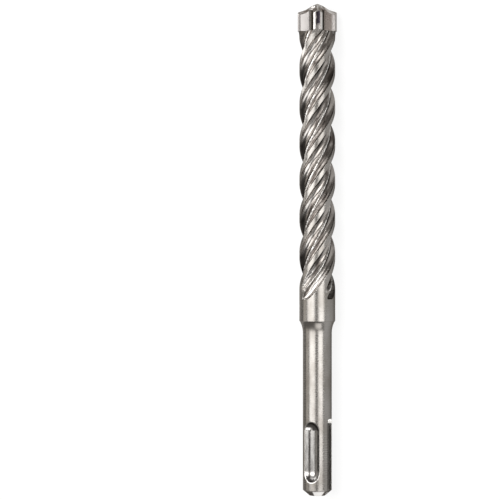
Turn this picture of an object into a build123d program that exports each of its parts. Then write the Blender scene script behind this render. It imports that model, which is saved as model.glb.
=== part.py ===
from build123d import *
import math
import os

# Hammer drill bit with a slotted quick-change shank. It is modelled upright on its
# striking end, with heights along the bit in millimetres, and laid down at the end.

# Lengths along the bit, stacked from the striking end to the tip
shank_length = 56.0
neck_length = 4.0
collar_length = 7.7
trailing_end_length = 3.0
runout_length = 9.3
flute_length = 80.2
blade_height = 6.5
outer_ridge_rise = 0.9
inner_ridge_rise = 1.2
point_rise = 0.9

# Shank and neck across the bit
shank_diameter = 10.0
neck_step = 1.2
collar_chamfer = 0.2
end_chamfer_width = 2.2
end_chamfer_height = 1.85

# Closed locking grooves of the shank, cut with a round-ended tool
locking_angle = -28.5
locking_tool_radius = 3.5
locking_depth = 2.1
locking_start = 7.9
locking_travel = 14.4
locking_rim = 0.25

# Open driving grooves of the shank
driving_angle = 61.5
driving_width = 2.6
driving_depth = 1.5
driving_length = 25.0

# Four-start right-hand flutes, two round channels in each
starts = 4
helix_pitch = 51.3
land_half_angle = 8.4
crest_angle = 50.0
crest_ratio = 0.79
leading_sagitta = 1.05
trailing_sagitta = 0.75
leading_end_length = 2.6
climb_power = 1.2
climb_steps = 8

# Carbide head across the bit
head_overhang = 0.55
blade_thickness = 3.15
blade_chamfer = 0.7
root_fillet = 1.1
knee_radius = 4.0
point_radius = 2.2
point_base_radius = 2.7
point_flat = 0.5
relief_height = 1.15
ridge_flat = 0.3

# Shoulders that widen the lands under the head
shoulder_height = 3.5
shoulder_ratio = 0.6
shoulder_inset = 0.15
braze_ledge = 0.3

# Rest on the ground: the first blade's angle above the horizon, which clears the others
blade_elevation = 52.0

# Derived sizes
shank_radius = shank_diameter / 2
body_radius = shank_radius + neck_step
head_radius = body_radius + head_overhang
locking_offset = shank_radius - locking_depth + locking_tool_radius
step_angle = 360 / starts

# Derived heights above the striking end
neck_height = shank_length + neck_length
runout_end = neck_height + collar_length
trailing_lift = runout_end + trailing_end_length
runout_top = trailing_lift + runout_length
leading_end = runout_end + leading_end_length
joint_height = runout_top + flute_length
ridge_end_height = joint_height + blade_height
knee_height = ridge_end_height + outer_ridge_rise
point_height = knee_height + inner_ridge_rise
tip_height = point_height + point_rise


def land_angle(height):
    """Angle of a land's middle at a height; it meets a blade at the joint."""
    return (height - joint_height) * 360 / helix_pitch


def polar(radius, angle):
    """Point of the cross-section given by radius and angle."""
    return Vector(radius * math.cos(math.radians(angle)), radius * math.sin(math.radians(angle)))


def channel(start, end, sagitta):
    """Circle through two points that dips towards the axis by the sagitta."""
    chord = end - start
    radius = (chord.length**2 / 4 + sagitta**2) / (2 * sagitta)
    outward = Vector(chord.Y, -chord.X).normalized()
    centre = (start + end) / 2 + outward * (radius - sagitta)
    return centre.length, math.degrees(math.atan2(centre.Y, centre.X)), radius


# The two channels of one flute as circles: distance from the axis, angle and radius
land_edge = polar(body_radius, land_half_angle)
crest = polar(body_radius * crest_ratio, crest_angle)
next_land_edge = polar(body_radius, step_angle - land_half_angle)
channels = [
    channel(land_edge, crest, leading_sagitta),
    channel(crest, next_land_edge, trailing_sagitta),
]

with BuildPart() as steel_body:
    # Shank, neck and collar turned from the bar
    neck_run = body_radius - collar_chamfer - shank_radius
    with BuildSketch(Plane.XZ):
        with BuildLine():
            Polyline(
                (0, runout_top),
                (0, 0),
                (shank_radius - end_chamfer_width, 0),
                (shank_radius, end_chamfer_height),
                (shank_radius, shank_length),
            )
            RadiusArc(
                (shank_radius, shank_length),
                (body_radius - collar_chamfer, neck_height),
                (neck_length**2 + neck_run**2) / (2 * neck_run),
            )
            Polyline(
                (body_radius - collar_chamfer, neck_height),
                (body_radius, neck_height + collar_chamfer),
                (body_radius, runout_top),
                (0, runout_top),
            )
        make_face()
    revolve(axis=Axis.Z)

    # Closed locking grooves, one on each side
    with PolarLocations(locking_offset, 2, start_angle=locking_angle):
        with Locations((0, 0, locking_start)):
            Cylinder(
                locking_tool_radius,
                locking_travel,
                align=(Align.CENTER, Align.CENTER, Align.MIN),
                mode=Mode.SUBTRACT,
            )
        with Locations((0, 0, locking_start), (0, 0, locking_start + locking_travel)):
            Sphere(locking_tool_radius, mode=Mode.SUBTRACT)
    below_grooves = locking_start - locking_tool_radius
    above_grooves = locking_start + locking_travel + locking_tool_radius
    rims = edges().filter_by(
        lambda edge: below_grooves < edge.center().Z < above_grooves
        and abs(Vector((edge @ 0.5).X, (edge @ 0.5).Y).length - shank_radius) < 0.01
    )
    chamfer(rims, locking_rim)

    # Open driving grooves that run out at the end of the shank
    for turn in (driving_angle, driving_angle + 180):
        with BuildSketch(Plane.XZ.rotated((0, 0, turn))):
            with BuildLine():
                Polyline(
                    (shank_radius - driving_depth, 0),
                    (shank_radius - driving_depth, driving_length),
                    (shank_radius, driving_length + driving_depth),
                    (body_radius, driving_length + driving_depth),
                    (body_radius, 0),
                    close=True,
                )
            make_face()
        extrude(amount=driving_width / 2, both=True, mode=Mode.SUBTRACT)

    # Run-outs: each channel's circle climbs out of the collar while it turns. The leading
    # one slopes out evenly, and the trailing one stays deep up to a round end.
    shares = [step / climb_steps for step in range(climb_steps + 1)]
    leading_way = [
        (runout_top - share * (runout_top - leading_end), share**climb_power) for share in shares
    ]
    trailing_way = [(runout_top - share * runout_length, 0) for share in shares[:-1]] + [
        (trailing_lift - trailing_end_length * math.sin(lift), 1 - math.cos(lift))
        for lift in [share * math.pi / 2 for share in shares[::2]]
    ]
    for start in range(starts):
        for (reach, aim, radius), way in zip(channels, (leading_way, trailing_way)):
            rise = body_radius - (reach - radius)
            for height, climb in way:
                angle = aim + land_angle(height) + start * step_angle
                with BuildSketch(Plane.XY.offset(height)):
                    with Locations(polar(reach + rise * climb, angle)):
                        Circle(radius)
            loft(mode=Mode.SUBTRACT)

    # Fluted part: one cross-section turned evenly up to the joint
    with BuildLine(Plane.XY.offset(runout_top)) as twist_path:
        Line((0, 0, 0), (0, 0, joint_height - runout_top))
    with BuildLine(Plane.XY.offset(runout_top)) as twist_guide:
        Helix(helix_pitch, joint_height - runout_top, body_radius)
    with BuildSketch(Plane.XY.offset(runout_top)):
        Circle(body_radius)
        for reach, aim, radius in channels:
            with PolarLocations(reach, starts, start_angle=aim + land_angle(runout_top)):
                Circle(radius, mode=Mode.SUBTRACT)
    sweep(path=twist_path.wires()[0], binormal=twist_guide.wires()[0])

    # Shoulders: the lands widen to the blades' thickness under the head
    foot = joint_height - shoulder_height
    for turn in (0, step_angle):
        with BuildSketch(Plane.XY.offset(foot)):
            Rectangle(
                2 * (body_radius - shoulder_inset),
                blade_thickness * shoulder_ratio,
                rotation=land_angle(foot) + turn,
            )
        with BuildSketch(Plane.XY.offset(joint_height)):
            Rectangle(2 * (head_radius - braze_ledge), blade_thickness, rotation=turn)
        loft()
steel_body.part.label = "steel_body"

# Carbide head: two crossing blade pairs under sloping ridges, brazed flat onto the body
with BuildPart() as carbide_head:
    ridge = [
        (head_radius, ridge_end_height),
        (knee_radius, knee_height),
        (point_radius, point_height),
        (0, tip_height),
    ]
    ridge += [(-radius, height) for radius, height in reversed(ridge[:-1])]
    roof_half_width = blade_thickness / 2 + 2 * root_fillet
    roof_slope = relief_height / (blade_thickness / 2 - ridge_flat / 2)
    roof_drop = roof_slope * (roof_half_width - ridge_flat / 2)
    for turn in (0, step_angle):
        for radius, height in ridge:
            with BuildSketch(Plane.YZ.rotated((0, 0, turn)).offset(radius)):
                with BuildLine():
                    Polyline(
                        (ridge_flat / 2, height),
                        (roof_half_width, height - roof_drop),
                        (roof_half_width, joint_height),
                        (-roof_half_width, joint_height),
                        (-roof_half_width, height - roof_drop),
                        (-ridge_flat / 2, height),
                        close=True,
                    )
                make_face()
        loft(ruled=True)

    # Raised centring point in the middle of the ridges
    with BuildSketch(Plane.XZ):
        with BuildLine():
            Polyline(
                (0, joint_height),
                (point_base_radius, joint_height),
                (point_base_radius, ridge_end_height),
                (point_radius, point_height),
                (point_flat / 2, tip_height),
                (0, tip_height),
                close=True,
            )
        make_face()
    revolve(axis=Axis.Z)

    # Cross-shaped outline with filleted roots and chamfered blade ends
    with BuildSketch(Plane.XY.offset(joint_height)):
        Rectangle(2 * head_radius, blade_thickness)
        Rectangle(blade_thickness, 2 * head_radius)
        fillet(vertices().sort_by_distance((0, 0, joint_height))[:starts], root_fillet)
        chamfer(vertices().sort_by_distance((0, 0, joint_height))[-2 * starts :], blade_chamfer)
        Circle(head_radius, mode=Mode.INTERSECT)
    extrude(amount=tip_height - joint_height, mode=Mode.INTERSECT)
carbide_head.part.label = "carbide_head"

# The bit lies along +Y on its body, rolled so that no blade reaches the ground
across = Vector(math.cos(math.radians(blade_elevation)), 0, math.sin(math.radians(blade_elevation)))
lying = Plane(origin=(0, -tip_height / 2, body_radius), x_dir=across, z_dir=(0, 1, 0))
for piece in (steel_body.part, carbide_head.part):
    piece.locate(lying.location)

os.makedirs("parts", exist_ok=True)
export_step(steel_body.part, "parts/steel_body.step")
export_step(carbide_head.part, "parts/carbide_head.step")
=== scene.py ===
"""Looks of the hammer drill bit: a turned and fluted steel bar with a carbide head.

Lengths in the classes are millimetres along and across the bit, as a maker draws it:
heights run from the striking end to the tip, and angles are degrees that turn about the
bit's axis from its front blade. Meshes are laid down on the ground in metres when they
are made.
"""

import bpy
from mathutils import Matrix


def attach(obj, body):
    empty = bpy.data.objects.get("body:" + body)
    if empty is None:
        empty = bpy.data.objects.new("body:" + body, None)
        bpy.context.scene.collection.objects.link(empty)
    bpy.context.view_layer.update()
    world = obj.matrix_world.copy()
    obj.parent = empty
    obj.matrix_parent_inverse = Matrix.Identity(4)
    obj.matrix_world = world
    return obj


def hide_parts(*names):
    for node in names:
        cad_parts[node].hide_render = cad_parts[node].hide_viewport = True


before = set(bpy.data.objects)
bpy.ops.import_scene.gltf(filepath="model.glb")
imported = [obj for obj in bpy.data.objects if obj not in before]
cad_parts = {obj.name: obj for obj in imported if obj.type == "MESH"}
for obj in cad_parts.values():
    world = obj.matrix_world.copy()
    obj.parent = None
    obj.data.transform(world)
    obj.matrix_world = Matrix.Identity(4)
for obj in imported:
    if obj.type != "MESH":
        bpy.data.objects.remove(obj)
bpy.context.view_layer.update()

import logging
import math
from collections.abc import Callable
from dataclasses import dataclass, field
from enum import Enum

import bpy
import numpy as np
from mathutils import Matrix

logging.basicConfig(level=logging.INFO, format="%(message)s")
log = logging.getLogger("bit")

Colour = tuple[float, float, float]
Span = tuple[float, float]
Socket = bpy.types.NodeSocket

METRE = 0.001
BODY = "root"

# World direction from the striking end to the tip
ALONG = np.array([0.0, 1.0, 0.0])

# Distance in millimetres where a cut or a shoulder isn't there
FAR_OFF = 9.0

# Whole range of a share, and the range of the edge wear that shows as bright steel
WHOLE: Span = (0.0, 1.0)
WORN_EDGE: Span = (0.15, 0.8)


class Zone(Enum):
    """Finish of a face of the steel body; the values follow its material slots."""

    GROUND = 0
    FLUTE = 1
    POCKET = 2


@dataclass(frozen=True)
class BitSizes:
    """Sizes that the pieces share; lengths are stacked from the striking end to the tip."""

    shank_length: float = 56.0
    neck_length: float = 4.0
    collar_length: float = 7.7
    trailing_end_length: float = 3.0
    runout_length: float = 9.3
    flute_length: float = 80.2
    blade_height: float = 6.5
    outer_ridge_rise: float = 0.9
    inner_ridge_rise: float = 1.2
    point_rise: float = 0.9
    shank_radius: float = 5.0
    neck_step: float = 1.2
    head_overhang: float = 0.55
    blade_half_thickness: float = 1.575

    @property
    def body_radius(self) -> float:
        """Radius of the collar and of the lands."""
        return self.shank_radius + self.neck_step

    @property
    def head_radius(self) -> float:
        """Radius of the blades' ends."""
        return self.body_radius + self.head_overhang

    @property
    def neck_height(self) -> float:
        """Height where the neck meets the collar."""
        return self.shank_length + self.neck_length

    @property
    def runout_end(self) -> float:
        """Height where the flutes start in the collar."""
        return self.neck_height + self.collar_length

    @property
    def trailing_lift(self) -> float:
        """Height where a trailing channel starts to lift out of the steel."""
        return self.runout_end + self.trailing_end_length

    @property
    def runout_top(self) -> float:
        """Height above which the flutes have their full depth."""
        return self.trailing_lift + self.runout_length

    @property
    def joint_height(self) -> float:
        """Height of the flat joint between the steel and the carbide."""
        return self.runout_top + self.flute_length

    @property
    def ridge_end_height(self) -> float:
        """Height of the ridges at the blades' ends."""
        return self.joint_height + self.blade_height

    @property
    def knee_height(self) -> float:
        """Height of the ridges where they get steeper."""
        return self.ridge_end_height + self.outer_ridge_rise

    @property
    def point_height(self) -> float:
        """Height where the ridges meet the raised point."""
        return self.knee_height + self.inner_ridge_rise

    @property
    def tip_height(self) -> float:
        """Height of the tip, which is the bit's whole length."""
        return self.point_height + self.point_rise


@dataclass(frozen=True)
class Points:
    """Points in the bit's own coordinates, as arrays of one shape.

    `across` runs from the axis towards the front blade, `aside` towards the next one, and
    `height` from the striking end to the tip.
    """

    across: np.ndarray
    aside: np.ndarray
    height: np.ndarray

    @property
    def radius(self) -> np.ndarray:
        """Distance of the points from the axis."""
        return np.hypot(self.across, self.aside)

    @property
    def bearing(self) -> np.ndarray:
        """Angle of the points about the axis from the front blade."""
        return np.degrees(np.arctan2(self.aside, self.across))

    def turned(self, angle: np.ndarray | float) -> "Points":
        """Give the points in a frame that is turned about the axis.

        Args:
            angle: angle of that frame in radians.

        Returns:
            The same points in it.
        """
        cosine, sine = np.cos(angle), np.sin(angle)
        across = self.across * cosine + self.aside * sine
        aside = self.aside * cosine - self.across * sine
        return Points(across, aside, self.height)

    def moved(self, across: float, aside: float, height: float) -> "Points":
        """Give the points moved by a step along each coordinate."""
        return Points(self.across + across, self.aside + aside, self.height + height)


@dataclass(frozen=True)
class Lying:
    """Placement of the upright bit on the ground, rolled so that no blade touches it."""

    sizes: BitSizes
    blade_elevation: float = 52.0

    @property
    def front(self) -> np.ndarray:
        """World direction that the front blade faces."""
        lift = math.radians(self.blade_elevation)
        return np.array([math.cos(lift), 0.0, math.sin(lift)])

    @property
    def right(self) -> np.ndarray:
        """World direction a quarter turn on from the front blade."""
        lift = math.radians(self.blade_elevation)
        return np.array([math.sin(lift), 0.0, -math.cos(lift)])

    @property
    def foot(self) -> np.ndarray:
        """Middle of the striking end, in world millimetres."""
        return np.array([0.0, -self.sizes.tip_height / 2, self.sizes.body_radius])

    def place(self, points: Points) -> np.ndarray:
        """Turn the bit's own coordinates into metres on the ground.

        Args:
            points: points on the upright bit.

        Returns:
            An array whose last axis is x, y, z in metres.
        """
        level = points.across[..., None] * self.front + points.aside[..., None] * self.right
        return (level + points.height[..., None] * ALONG + self.foot) * METRE

    def above(self, points: Points) -> np.ndarray:
        """How far points lie above the axis of the lying bit."""
        return points.across * self.front[2] + points.aside * self.right[2]


def soft_max(first: np.ndarray, second: np.ndarray, blend: float) -> np.ndarray:
    """Larger of two distances, with the corner between them rounded over a blend."""
    return blend * np.logaddexp(first / blend, second / blend)


def soft_min(first: np.ndarray, second: np.ndarray, blend: float) -> np.ndarray:
    """Smaller of two distances, with the corner between them filleted over a blend."""
    return -blend * np.logaddexp(-first / blend, -second / blend)


def ease(value: np.ndarray, span: Span) -> np.ndarray:
    """Ease from 0 to 1 over a span: 3 s squared less 2 s cubed, s being the share gone."""
    share = np.clip((value - span[0]) / (span[1] - span[0]), 0.0, 1.0)
    return share * share * (3 - 2 * share)


def band(value: np.ndarray, rise: Span, fall: Span) -> np.ndarray:
    """Ease from 0 to 1 over the first span, and back to 0 over the second one."""
    return ease(value, rise) * (1 - ease(value, fall))


def bell(value: np.ndarray, middle: float, width: float) -> np.ndarray:
    """Bell of height 1: e to minus the square of the distance from its middle in widths."""
    return np.exp(-(((value - middle) / width) ** 2))


def bunched(
    count: int, span: Span, edges: tuple[float, ...], width: float, gain: float
) -> np.ndarray:
    """Spread positions over a span, closer together at the edges named.

    Formula: the density is 1 plus a bell of the gain's height at each edge; positions are
    read from its running sum at equal steps.

    Args:
        count: number of positions, the start included and the end left out.
        span: first position and end of the row.
        edges: positions at which points gather.
        width: half width of each bell.
        gain: height of each bell.

    Returns:
        Rising positions.
    """
    samples = 6001
    fine = np.linspace(*span, samples)
    density = np.ones_like(fine)
    for edge in edges:
        density += gain * bell(fine, edge, width)
    total = np.concatenate([[0.0], np.cumsum((density[1:] + density[:-1]) / 2)])
    return np.interp(np.arange(count) / count * total[-1], total, fine)


def reach(
    outside: Callable[[np.ndarray], np.ndarray],
    shape: tuple[int, ...],
    farthest: float,
    halvings: int,
) -> np.ndarray:
    """Find how far out along each ray the surface lies.

    Formula: the span from 0 to the farthest distance is halved again and again, and the
    half in which the ray leaves the steel is kept.

    Args:
        outside: tells which points at given distances along their rays lie outside.
        shape: shape of the array of rays.
        farthest: distance at which every ray is outside.
        halvings: how often the span is halved.

    Returns:
        Distances along the rays, just inside the surface.
    """
    near, far = np.zeros(shape), np.full(shape, farthest)
    for _ in range(halvings):
        middle = (near + far) / 2
        beyond = outside(middle)
        near, far = np.where(beyond, near, middle), np.where(beyond, middle, far)
    return near


def closed_tube(name: str, rings: np.ndarray) -> bpy.types.Object:
    """Make a closed skin from rings of points, with a point in the middle of each end.

    Args:
        name: name of the piece.
        rings: points of shape (rows, columns, 3), rows from the foot to the top, columns
            anticlockwise seen from the top.

    Returns:
        The object, with faces outwards: rows first, then the two fans.
    """
    rows, columns, _ = rings.shape
    foot, top = rows * columns, rows * columns + 1
    middles = np.stack([rings[0].mean(axis=0), rings[-1].mean(axis=0)])
    points = np.concatenate([rings.reshape(-1, 3), middles])
    row, column = np.meshgrid(np.arange(rows - 1), np.arange(columns), indexing="ij")
    ahead = (column + 1) % columns
    low, high = row * columns, (row + 1) * columns
    quads = np.stack([low + column, low + ahead, high + ahead, high + column], axis=-1)
    rim = np.arange(columns)
    next_rim = (rim + 1) % columns
    last = (rows - 1) * columns
    low_fan = np.stack([next_rim, rim, np.full(columns, foot)], axis=-1)
    high_fan = np.stack([last + rim, last + next_rim, np.full(columns, top)], axis=-1)
    loops = np.concatenate([quads.ravel(), low_fan.ravel(), high_fan.ravel()]).astype(np.int32)
    sizes = np.concatenate([np.full(row.size, 4), np.full(2 * columns, 3)]).astype(np.int32)
    starts = np.concatenate([[0], np.cumsum(sizes)[:-1]]).astype(np.int32)

    mesh = bpy.data.meshes.new(name)
    mesh.vertices.add(len(points))
    mesh.vertices.foreach_set("co", points.astype(np.float32).ravel())
    mesh.loops.add(len(loops))
    mesh.loops.foreach_set("vertex_index", loops)
    mesh.polygons.add(len(sizes))
    mesh.polygons.foreach_set("loop_start", starts)
    mesh.update(calc_edges=True)
    mesh.validate()
    mesh.polygons.foreach_set("use_smooth", np.ones(len(mesh.polygons), dtype=bool))
    piece = bpy.data.objects.new(name, mesh)
    bpy.context.scene.collection.objects.link(piece)
    return piece


def mark(piece: bpy.types.Object, name: str, values: np.ndarray) -> None:
    """Store a number or a vector per grid point on a closed tube; its end points take 0.

    Args:
        piece: closed tube whose points follow the order of the values.
        name: name of the attribute.
        values: array of shape (rows, columns), or (rows, columns, 3) for vectors.
    """
    vectors = values.ndim == 3
    ends = np.zeros((2, *values.shape[2:]))
    layer = piece.data.attributes.new(name, "FLOAT_VECTOR" if vectors else "FLOAT", "POINT")
    flat = np.concatenate([values.ravel(), ends.ravel()]).astype(np.float32)
    layer.data.foreach_set("vector" if vectors else "value", flat)


def shade(piece: bpy.types.Object, normals: np.ndarray, limit: float = 35.0) -> None:
    """Shade a closed tube with its formula's own normals.

    Where a normal stands further from its face than the limit, in degrees, the face's own
    normal is kept, so that hard edges stay hard.

    Args:
        piece: closed tube whose points follow the order of the normals.
        normals: unit normals in world directions, of shape (rows, columns, 3).
        limit: widest angle between a face and a normal that is used on it.
    """
    mesh = piece.data
    vertex = np.empty(len(mesh.loops), dtype=np.int32)
    mesh.loops.foreach_get("vertex_index", vertex)
    faces = np.empty(len(mesh.polygons) * 3, dtype=np.float32)
    mesh.polygons.foreach_get("normal", faces)
    sizes = np.empty(len(mesh.polygons), dtype=np.int32)
    mesh.polygons.foreach_get("loop_total", sizes)
    face = np.repeat(faces.reshape(-1, 3), sizes, axis=0)
    exact = np.concatenate([normals.reshape(-1, 3), np.zeros((2, 3))])[vertex]
    close = (exact * face).sum(axis=1) > math.cos(math.radians(limit))
    mesh.normals_split_custom_set(np.where(close[:, None], exact, face).tolist())


def facing(right: np.ndarray, up: np.ndarray, back: np.ndarray, spot: np.ndarray) -> Matrix:
    """Placement whose own x, y and z axes point right, up and back."""
    rows = np.column_stack([right, up, back, spot])
    return Matrix([*rows.tolist(), [0.0, 0.0, 0.0, 1.0]])


@dataclass(frozen=True)
class Rings:
    """How the rings of the bar's skin are spaced.

    A tuple holds distances from the place that its name gives, and a count is the number
    of rings over a stretch.
    """

    from_end: tuple[float, ...] = (
        0.0, 0.06, 0.3, 0.6, 0.9, 1.2, 1.5, 1.75, 1.85, 1.95, 2.3, 3.4,
    )
    past_locking_start: tuple[float, ...] = (0.4, 0.9, 1.7, 7.2, 12.3)
    past_driving_length: tuple[float, ...] = (
        0.0, 0.15, 0.5, 0.85, 1.0, 1.1, 1.2, 1.3, 1.4, 1.5, 1.6, 2.0,
    )
    before_shank_end: tuple[float, ...] = (21.0, 11.0, 2.0)
    past_neck: tuple[float, ...] = (0.03, 0.1, 0.17, 0.23, 0.4, 1.5, 3.0, 4.5, 6.0)
    before_runouts: tuple[float, ...] = (0.9, 0.5, 0.25, 0.12, 0.05)
    before_neck: float = 0.3
    below_joint: float = 0.06
    end_share: float = 0.98
    decimals: int = 4
    locking_foot: int = 22
    locking_head: int = 20
    neck: int = 13
    trailing_end: int = 20
    runout: int = 24
    flutes: int = 60
    shoulder: int = 13
    foot_scale: tuple[float, ...] = (0.3, 0.7, 0.93, 0.985)
    top_scale: tuple[float, ...] = (0.99, 0.96, 0.8, 0.5, 0.2)


@dataclass(frozen=True)
class BarWearAndLight:
    """Where wear, painted shade and painted light begin and end on the bar.

    A span is the stretch over which a mark eases in or out. Those of the chamfer, apart
    from its head, are bearings, and the gleams lean by an angle from the closed groove's
    middle. Wall, core and gloom are angles past the land that leads into a flute. Under,
    low and top side are measured above the axis of the lying bit.
    """

    edge_share: float = 0.9
    crest_width: float = 0.5
    crest_reach: float = 0.3
    chamfer_foot: float = 0.01
    chamfer_head: Span = (1.6, 1.85)
    # Bearings of the painted highlight on the chamfer; the rest of its ring takes painted shade
    chamfer_rise: Span = (-26.0, -20.0)
    chamfer_fall: Span = (26.0, 32.0)
    rim_share: float = 0.85
    rim_reach: float = 0.5
    rim_fade: float = 1.0
    groove_reach: float = 0.05
    # Bells and leans of the painted highlights at the closed grooves' ends
    gleam_width: float = 0.5
    head_gleam_lift: float = 0.75
    head_gleam_lean: Span = (-10.0, -3.0)
    foot_gleam_lift: float = -0.2
    foot_gleam_lean: Span = (2.0, 12.0)
    foot_gleam: float = 0.75
    driving_over: float = 2.0
    driving_wall: Span = (3.3, 3.6)
    # Span of the painted highlight at the top of the open groove's slope
    glint_fade: float = 0.1
    # Painted shade in the run-out hollows: its depth, its fade at the top, the ground side and the
    # share all round in the leading ones
    channel_depth: float = 2.1
    runout_fade: Span = (4.0, 2.0)
    low_side: Span = (1.2, 3.5)
    leading_shade: float = 0.4
    # Painted shade on the lower side of the lying bar
    under: Span = (-3.5, 2.6)
    # Painted light on the leading channels' steep walls on the top side
    top_side: Span = (3.4, 4.8)
    wall_rise: Span = (7.0, 10.0)
    wall_fall: Span = (20.0, 30.0)
    # Painted shade in the trailing channels
    core_rise: Span = (51.0, 55.0)
    core_fall: Span = (60.0, 72.0)
    # Painted shade on the leading channels' steep walls on the lower side, below the shoulders
    gloom_rise: Span = (7.5, 9.5)
    gloom_fall: Span = (16.0, 30.0)
    gloom_top: Span = (-2.0, 1.0)
    flank_reach: float = 0.03
    flank_fade: float = 0.15
    # Painted shade on faces turned to the floor
    down: Span = (-0.05, 0.5)


@dataclass(frozen=True)
class Cuts:
    """Signed distances of the bar and its cutters; each is above 0 where steel is gone."""

    bar: np.ndarray
    leading: np.ndarray
    trailing: np.ndarray
    locking: np.ndarray
    driving: np.ndarray

    @property
    def channel(self) -> np.ndarray:
        """Distance of the deeper one of a flute's two channels."""
        return np.maximum(self.leading, self.trailing)

    @property
    def pocket(self) -> np.ndarray:
        """Distance of the deeper one of the shank's grooves."""
        return np.maximum(self.locking, self.driving)

    @property
    def sharp(self) -> np.ndarray:
        """Distance of the cut bar before its edges are softened."""
        return np.maximum(np.maximum(self.bar, self.channel), self.pocket)


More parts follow.
